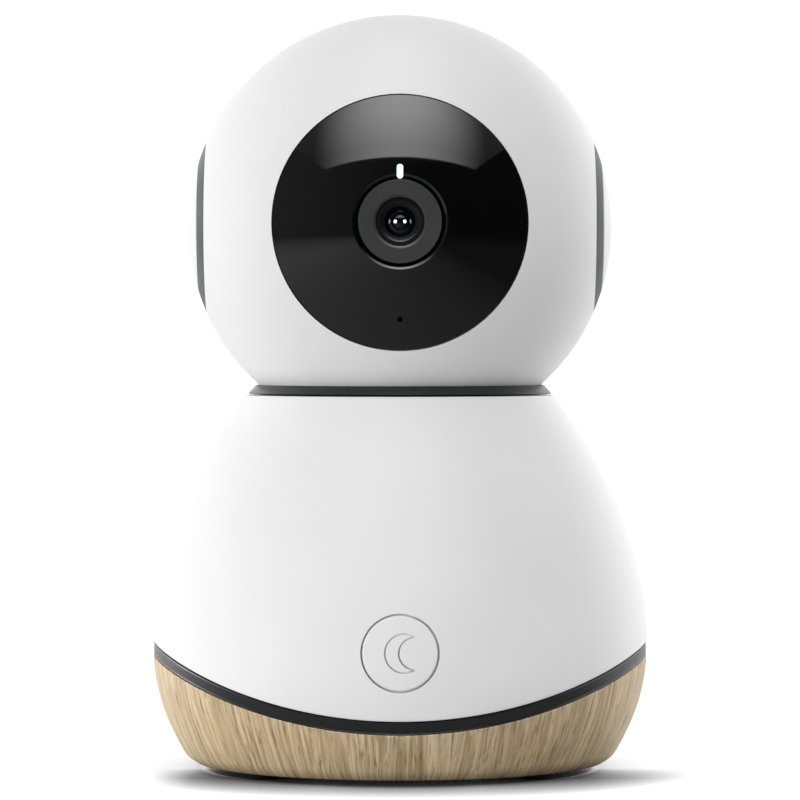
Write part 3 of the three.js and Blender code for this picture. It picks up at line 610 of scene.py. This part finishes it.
def front_of_body(x, z):
    """How far forward the body's surface lies at a place in the front view."""
    return math.sqrt(outline(z) ** 2 - x * x)


def make_button():
    """The cap, turned flat and then laid on the body's curve, with the crescent engraved in it."""
    rim = 0.3
    flat_r = BUTTON_R - rim
    face = [(BUTTON_R * i / 14, 0) for i in range(14)] + [(flat_r, 0)]
    turns = (0.4, 0.8, 1.2, math.pi / 2)
    edge = [(flat_r + rim * math.sin(a), rim * (math.cos(a) - 1)) for a in turns]
    # A white lip behind the edge closes the gap round the cap, so that the groove is shallow.
    lip = BUTTON_R + BUTTON_GAP - 0.05
    profile = face + edge + [(BUTTON_R, -1.1), (lip, -1.1), (lip, -2.2), (0, -2.2)]
    cap = turned([(r, h + 1) for r, h in profile], "front", 96)
    for v in cap.verts:
        z = v.co.z / MM + BUTTON_Z
        v.co.y -= (front_of_body(v.co.x / MM, z) - 1 - 0.02) * MM
        v.co.z += BUTTON_Z * MM
    for groove in moon_grooves():
        cap = cut(cap, groove)
    piece("button_cap", cap, white_abs, "button", ["front_button"], sharp=32)


def moon_grooves():
    """Two curved bars, one for each edge of a plain crescent moon that is engraved as a thin line."""
    # Where the two circles cross, and the angle of that point seen from each one's centre.
    tip_x = (MOON_R**2 - MOON_INNER_R**2 + MOON_SHIFT**2) / (2 * MOON_SHIFT)
    outer_tip = math.degrees(math.acos(tip_x / MOON_R))
    inner_tip = math.degrees(math.acos((tip_x - MOON_SHIFT) / MOON_INNER_R))
    deepest = BODY_R - 0.75
    centred = (MOON_R - tip_x) / 2
    grooves = []
    for shift, radius, tip in ((0.0, MOON_R, outer_tip), (MOON_SHIFT, MOON_INNER_R, inner_tip)):
        near, far = radius - MOON_LINE / 2, radius + MOON_LINE / 2
        profile = [(near, deepest), (far, deepest), (far, 56), (near, 56)]
        arc = turned(profile, "front", 48, sweep=360 - 2 * tip, start=tip, closed=True)
        bmesh.ops.translate(arc, verts=arc.verts, vec=Vector((shift + centred, 0, BUTTON_Z)) * MM)
        grooves.append(arc)
    return grooves


def make_back():
    shell = rounded_bar(8.9, 3.2, 1.55, 42.2, 50.4, (0, SOCKET_Z))
    shell = cut(shell, rounded_bar(8.3, 2.6, 1.25, 43, 52, (0, SOCKET_Z)))
    tongue = rounded_bar(6.4, 0.7, 0.1, 42.4, 49, (0, SOCKET_Z))
    piece("socket_shell", shell, drawn_steel, "base", ["power_socket"], sharp=30)
    piece("socket_tongue", tongue, epoxy, "base", sharp=30)
    places = [((i - 3.5) * 0.6, SOCKET_Z + 0.37) for i in range(8)]
    contacts = [rounded_bar(0.25, 0.05, 0.01, 45.5, 48.8, place) for place in places]
    piece("socket_contacts", joined(*contacts), brass, "base", sharp=30)
    cloth_wall = turned([(outline(z) - 3.0, z) for z in range(27, 55, 2)], "up", 24, sweep=44, start=68)
    bmesh.ops.solidify(cloth_wall, geom=cloth_wall.faces[:], thickness=0.4 * MM)
    piece("speaker_cloth", cloth_wall, cloth, "base", sharp=50)


# ---- Turntable ----
def make_turntable():
    stem = [(3.6, 50.5), (6, 50.5), (6, 52.9), (5.4, 52.9), (5.4, 53.9), (6, 53.9), (6, 64.5)]
    wall = [(29.6, 64.5), (29.8, 64.8), (29.8, 79.58)]
    rim = [(32.1, 79.58), (32.25, 79.7), (30.75, 81.35), (30.5, 81.45), (30.25, 81.35)]
    inside = [(28.5, 79.4), (28.5, 67.4), (28.1, 67), (3.6, 67)]
    ring = turned(stem + wall + rim + inside, "up", 192, closed=True)
    piece("neck_ring", ring, silk_black, "pan", ["turntable"], sharp=40)


# ---- Head ----
def make_rear_half():
    # Turned about the tilt axis, so that the slot for the neck's arm follows its rows.
    floor = [(TRUNNION_HOLE_R, -RECESS_X), (RECESS_R, -RECESS_X)]
    arc = [(HEAD_R * math.cos(a), HEAD_R * math.sin(a)) for a in latitudes()]
    profile = floor + arc + [(r, -h) for r, h in reversed(floor)]
    rear = turned(profile, "right", 90, sweep=179.74, start=0.13, centre=HEAD_CENTRE)
    slot = [f for f in rear.faces if in_slot(f.calc_center_median() - HEAD_CENTRE)]
    bmesh.ops.delete(rear, geom=slot, context="FACES")
    corners = [v for v in rear.verts if v.is_boundary and len(v.link_faces) == 3]
    bmesh.ops.bevel(rear, geom=corners, offset=1.6 * MM, segments=6, profile=0.5, affect="VERTICES",
                    material=-1)
    bmesh.ops.solidify(rear, geom=rear.faces[:], thickness=SHELL_WALL * MM)
    piece("ball_rear_half", rear, white_abs, "head", ["head_rear_shell"], 0.3, 40)


def latitudes():
    """Angles from one end of the tilt axis to the other, with rows exactly at the slot's sides."""
    edge = -math.acos(RECESS_R / HEAD_R)
    side = math.asin(SLOT_HALF_WIDTH / HEAD_R)
    first = [edge + (-side - edge) * i / 30 for i in range(30)]
    across = [-side + 2 * side * i / 14 for i in range(15)]
    return first + across + [-a for a in reversed(first)]


def in_slot(at):
    """Whether a face of the ball, seen from its centre, lies inside the slot."""
    back = math.degrees(math.atan2(at.y, -at.z))
    inside = abs(at.x) < (SLOT_HALF_WIDTH - 0.1) * MM and SLOT_FROM_DEG < back < SLOT_TO_DEG
    return inside and at.length > (HEAD_R - 1) * MM


def make_front_half():
    # Turned about the lens axis, so that the window's rim is a true circle.
    rim = [(24.4, 34.3), (FACE_R, 34.3)]
    front = turned(rim + dome(HEAD_R, FACE_R, HEAD_R, 60)[:-1] + [(HEAD_R, 0.06)], "front", 192)
    for side in (-1, 1):
        sink_recess(front, side)
    bmesh.ops.translate(front, verts=front.verts, vec=HEAD_CENTRE)
    bmesh.ops.recalc_face_normals(front, faces=front.faces)
    bmesh.ops.solidify(front, geom=front.faces[:], thickness=SHELL_WALL * MM)
    piece("ball_front_half", front, white_abs, "head", ["head_front_shell"], 0.3, 40)


def sink_recess(bm, side):
    """Cuts the ball flat where the pivot recess begins, then sinks the recess with its flat floor."""
    rim_x = math.sqrt(HEAD_R**2 - RECESS_R**2)
    everything = bm.verts[:] + bm.edges[:] + bm.faces[:]
    sliced = bmesh.ops.bisect_plane(bm, geom=everything, plane_co=(side * rim_x * MM, 0, 0),
                                    plane_no=(side, 0, 0), clear_outer=True)
    rim = [g for g in sliced["geom_cut"] if isinstance(g, bmesh.types.BMEdge)]
    for radius in (RECESS_R, TRUNNION_HOLE_R):
        grown = bmesh.ops.extrude_edge_only(bm, edges=rim)["geom"]
        rim = [g for g in grown if isinstance(g, bmesh.types.BMEdge)]
        for v in (g for g in grown if isinstance(g, bmesh.types.BMVert)):
            scale = radius * MM / math.hypot(v.co.y, v.co.z)
            v.co = Vector((side * RECESS_X * MM, v.co.y * scale, v.co.z * scale))


def make_face():
    outer = FACE_R - 0.16
    surface = dome(HEAD_R - 0.03, LENS_HOLE_R + 0.47, outer - 0.12, 48)
    # The hole for the lens has a shallow bevel that catches the lamp above.
    hole = [(LENS_HOLE_R, 41.2), (LENS_HOLE_R, 43.6)]
    profile = hole + surface + [(outer, 36.36), (outer, 34.6), (24.0, 36.0)]
    window = turned(profile, "front", 192, closed=True, centre=HEAD_CENTRE)
    mic_hole = rod(0.55, 30, 50, "front", (0, 0, (TILT_Z - MIC_DROP) * MM), 32)
    piece("dark_window", cut(window, mic_hole), acrylic, "head", ["face_window"], sharp=24)
    guide = rounded_bar(1.3, 2.9, 0.64, -44.12, -42.6, (0, TILT_Z + LIGHT_RISE))
    piece("light_pill", guide, light_guide, "head", ["status_light_guide"], 0.1, 40)
    make_lens()


def make_lens():
    """From the outside in: the charcoal ring, the stepped tube and two glasses."""
    outside = [(BEZEL_R, 33), (BEZEL_R, 44.0)]
    bezel = outside + [(5.45, 44.0), (4.95, 43.7), (4.95, 43.1), (6.5, 42.4), (6.5, 33)]
    ring = turned(bezel, "front", 128, closed=True, centre=HEAD_CENTRE)
    piece("lens_ring", ring, charcoal_abs, "head", ["lens_bezel"], 0.1, 24)
    # Steps that lead in to the glass.
    steps = [(4.85, 43.0), (4.15, 43.0), (3.75, 42.75), (3.7, 41.9), (3.2, 41.8), (3.1, 40.4), (0, 40.4)]
    barrel = [(0, 22.5), (6, 22.5), (6, 38.8), (4.85, 39.4)] + steps
    piece("lens_tube", turned(barrel, "front", 128, centre=HEAD_CENTRE), barrel_black, "head",
          ["lens_barrel"], sharp=20)
    wide = [(1.7, 40.2), (3.05, 40.2)] + [(r, h + 33.95) for r, h in dome(7.2, 3.05, 1.7, 12)]
    second = turned(wide, "front", 128, closed=True, centre=HEAD_CENTRE)
    piece("second_element", second, glass, "head", sharp=50)
    small = [(r, h + 39.15) for r, h in dome(2.7, 0, 1.55, 24)] + [(1.6, 40.6), (0, 40.6)]
    first = turned(small, "front", 96, centre=HEAD_CENTRE)
    piece("front_element", first, glass, "head", ["lens_front_glass"], sharp=50)


def make_pivots():
    """Trim and cap at each end of the tilt axis carry the ball's surface on, with a fine gap round each."""
    outer, inner = RECESS_R - 0.3, CAP_R + 0.15
    under = [(0, 33), (0.9, 33), (0.9, RECESS_X + 0.3), (outer, RECESS_X + 0.3)]
    ring = under + dome(HEAD_R - 0.05, outer, inner, 8) + [(inner, 42.3), (0, 42.3)]
    cap = [(0, 42.5), (CAP_R, 42.5)] + dome(HEAD_R, CAP_R, 0, 24)
    for side in ("left", "right"):
        trim = turned(ring, side, 128, centre=HEAD_CENTRE)
        piece("pivot_trim_" + side, trim, painted_grey, "pan", ["pivot_ring_" + side], 0.15, 30)
        domed = turned(cap, side, 128, centre=HEAD_CENTRE)
        piece("pivot_dome_" + side, domed, white_abs, "pan", ["pivot_cap_" + side], 0.2, 30)


def make_shutter():
    """A curved plate that fills the slot from inside, whichever way the ball is tilted."""
    profile = [(39, -12), (40.1, -12), (40.1, 12), (39, 12)]
    plate = turned(profile, "right", 40, sweep=64.6, start=41.4, closed=True, centre=HEAD_CENTRE)
    piece("slot_shutter", plate, black_nylon, "pan", ["rear_shutter"], 0.2, 40)


make_base()
make_body()
make_turntable()
make_rear_half()
make_front_half()
make_face()
make_pivots()
make_shutter()


# ---- Stage ----
def show(name, data):
    made = bpy.data.objects.new(name, data)
    bpy.context.scene.collection.objects.link(made)
    return made


def stage_mesh(name, bm, finish):
    mesh = bpy.data.meshes.new(name)
    bm.to_mesh(mesh)
    bm.free()
    mesh.materials.append(finish)
    finish.cycles.emission_sampling = "NONE"
    made = show(name, mesh)
    return made


def make_floor():
    """An evenly lit white floor: only what stands close over it darkens it."""
    paint, tree, shader, place = new_material("White studio floor", "#080808", 0.9, Specular_IOR_Level=0.0)
    path = add(tree, "LightPath")
    at = add(tree, "SeparateXYZ", n0=place)
    reach = add(tree, "VectorMath", {"operation": "LENGTH"}, n0=place)
    bounce = add(tree, "MapRange", Value=reach.outputs["Value"], n1=0.06, n2=0.38, n3=0.5, n4=0.03)
    # Polished surfaces see the floor brighter on the left, and the dim studio beyond it.
    near = add(tree, "MapRange", Value=at.outputs["X"], n1=-0.3, n2=0.22, n3=0.9, n4=0.1)
    toward = add(tree, "SeparateXYZ", n0=add(tree, "VectorMath", {"operation": "NORMALIZE"}, n0=place))
    far = add(tree, "MapRange", Value=toward.outputs["X"], n1=-0.95, n2=0.2, n3=0.25, n4=0.02)
    behind = add(tree, "MapRange", Value=toward.outputs["Y"], n1=-0.25, n2=0.1, n3=0.0, n4=1.0)
    beyond = add(tree, "MapRange", {"interpolation_type": "SMOOTHSTEP"}, Value=reach.outputs["Value"],
                 n1=0.35, n2=1.3, n3=0.0, n4=1.0)
    front = add(tree, "Mix", n0=beyond, n2=near, n3=far)
    mirror = add(tree, "Mix", n0=behind, n2=front, n3=1.0)
    unseen = add(tree, "Mix", n0=path.outputs["Is Glossy Ray"], n2=bounce, n3=mirror)
    light = add(tree, "Mix", n0=path.outputs["Is Camera Ray"], n2=unseen, n3=1.2)
    open_sky = add(tree, "AmbientOcclusion", {"samples": 8}, Distance=0.02)
    # The contact shadow is deepest beside the front feet and fades out along the sides.
    depth = add(tree, "MapRange", Value=at.outputs["Y"], n1=-0.05, n2=-0.005, n3=1.4, n4=0.35)
    deepest = add(tree, "MapRange", Value=at.outputs["X"], n1=-0.052, n2=-0.043, n3=0.45, n4=2.3)
    beside = add(tree, "MapRange", Value=at.outputs["Y"], n1=-0.024, n2=-0.004, n3=deepest, n4=0.35)
    out = add(tree, "Math", {"operation": "ABSOLUTE"}, n0=at.outputs["X"])
    outward = add(tree, "MapRange", Value=out, n1=0.016, n2=0.038, n3=0.0, n4=1.0)
    power = add(tree, "Mix", n0=outward, n2=depth, n3=beside)
    shade = add(tree, "Math", {"operation": "POWER"}, n0=open_sky.outputs["AO"], n1=power)
    strength = add(tree, "Math", {"operation": "MULTIPLY"}, n0=light, n1=shade)
    add(tree, "", into=shader, Emission_Color=linear("#ffffff"), Emission_Strength=strength)
    bm = bmesh.new()
    bmesh.ops.create_circle(bm, cap_ends=True, segments=96, radius=12)
    stage_mesh("floor", bm, paint)


def make_overhead():
    """A large soft lamp above and in front: brightest in the middle, seen only in polished surfaces."""
    centre = Vector((0, -0.29, HEAD_CENTRE.z + 0.63))
    glow, tree, shader, place = new_material("Softbox cloth", "#000000", 1.0, Specular_IOR_Level=0.0)
    at = add(tree, "SeparateXYZ", n0=place)
    spread = add(tree, "Math", {"operation": "MULTIPLY_ADD"}, n0=at.outputs["Y"], n1=-0.37, n2=0.15)
    sideways = add(tree, "Math", {"operation": "DIVIDE"}, n0=at.outputs["X"], n1=spread)
    across = add(tree, "Math", {"operation": "ABSOLUTE"}, n0=sideways)
    fade = add(tree, "MapRange", {"interpolation_type": "SMOOTHSTEP"}, Value=across,
               n1=0.0, n2=2.25, n3=1.0, n4=0.05)
    along = add(tree, "MapRange", Value=at.outputs["Y"], n1=-0.33, n2=-0.68, n3=7.2, n4=5.2)
    strength = add(tree, "Math", {"operation": "MULTIPLY"}, n0=fade, n1=along)
    add(tree, "", into=shader, Emission_Color=linear("#ffffff"), Emission_Strength=strength)
    bm = bmesh.new()
    bmesh.ops.create_grid(bm, x_segments=1, y_segments=1, size=0.5)
    bmesh.ops.scale(bm, verts=bm.verts, vec=(1.7, 1.18, 1))
    bmesh.ops.translate(bm, verts=bm.verts, vec=centre)
    box = stage_mesh("overhead softbox", bm, glow)
    box.visible_camera = box.visible_diffuse = box.visible_shadow = False


def make_studio():
    """A white surround. Polished surfaces see it white behind, dark in front and dim on the left."""
    world = bpy.data.worlds.new("studio")
    bpy.context.scene.world = world
    world.use_nodes = True
    tree = world.node_tree
    path = add(tree, "LightPath")
    toward = add(tree, "SeparateXYZ", n0=add(tree, "TexCoord").outputs["Generated"])
    left = add(tree, "MapRange", Value=toward.outputs["X"], n1=-0.95, n2=0.2, n3=0.27, n4=0.02)
    behind = add(tree, "MapRange", Value=toward.outputs["Y"], n1=-0.25, n2=0.1, n3=0.0, n4=1.0)
    mirror = add(tree, "Mix", n0=behind, n2=left, n3=1.5)
    around = add(tree, "MapRange", Value=toward.outputs["X"], n1=0.0, n2=1.0, n3=0.38, n4=1.8)
    unseen = add(tree, "Mix", n0=path.outputs["Is Glossy Ray"], n2=around, n3=mirror)
    seen = add(tree, "Mix", n0=path.outputs["Is Camera Ray"], n2=unseen, n3=1.05)
    add(tree, "", into=tree.nodes["Background"], Color=linear("#ffffff"), Strength=seen)


def softbox(name, at, aim, size, watts, shape="RECTANGLE", glossy=True):
    data = bpy.data.lights.new(name, "AREA")
    data.shape = shape
    data.size, data.size_y = size
    data.energy = watts
    lamp = show(name, data)
    lamp.location = at
    lamp.rotation_euler = (Vector(aim) - Vector(at)).to_track_quat("-Z", "Y").to_euler()
    lamp.visible_glossy = glossy
    lamp.visible_camera = False
    return lamp


def light_only(lamp, *names):
    """Keeps a lamp's light to the pieces named."""
    lit = bpy.data.collections.new("lit by " + lamp.name)
    for name in names:
        lit.objects.link(bpy.data.objects[name])
    lamp.light_linking.receiver_collection = lit


def make_lamps():
    head = HEAD_CENTRE
    softbox("key left", (-1.1, -0.35, 0.1), head, (0.6, 0.18), 3.96, glossy=False)
    softbox("fill front left", (-0.7, -0.9, 0.15), head, (0.4, 0.28), 5.3, glossy=False)
    softbox("back left", (-0.9, 0.5, 0.15), head, (0.4, 0.28), 3.57, glossy=False)
    softbox("low rim right", (0.42, 0.42, 0.06), (0, 0, 0.05), (0.2, 0.1), 1.8, glossy=False)
    # The base alone has a stronger light from the left, which lifts the grain and the end of the trim band.
    low = softbox("base left", (-0.9, 0.45, 0.08), (0, 0, 0.015), (0.4, 0.28), 3.4)
    light_only(low, "oak_ring", "black_trim")
    # A pair of small lamps for each glass of the lens, seen by nothing else, puts the paired glints in it.
    for name, size, watts in (("front_element", 0.25, 13.0), ("second_element", 0.18, 1.0)):
        for side in (-1, 1):
            at = head + Vector((side * 0.334, -0.398, 0.03))
            lamp = softbox("lens glint", at, head, (size, size), watts, "DISK")
            lamp.visible_diffuse = False
            light_only(lamp, name)


def make_camera():
    data = bpy.data.cameras.new("camera")
    data.lens = CAMERA_LENS
    data.sensor_width = 36
    data.clip_start, data.clip_end = 0.05, 50
    camera = show("camera", data)
    camera.location = (0, -CAMERA_DISTANCE, CAMERA_HEIGHT)
    camera.rotation_euler = (math.radians(90 - CAMERA_DIP_DEG), 0, 0)
    bpy.context.scene.camera = camera


make_floor()
make_overhead()
make_studio()
make_lamps()
make_camera()
bpy.context.scene.view_settings.view_transform = "Standard"
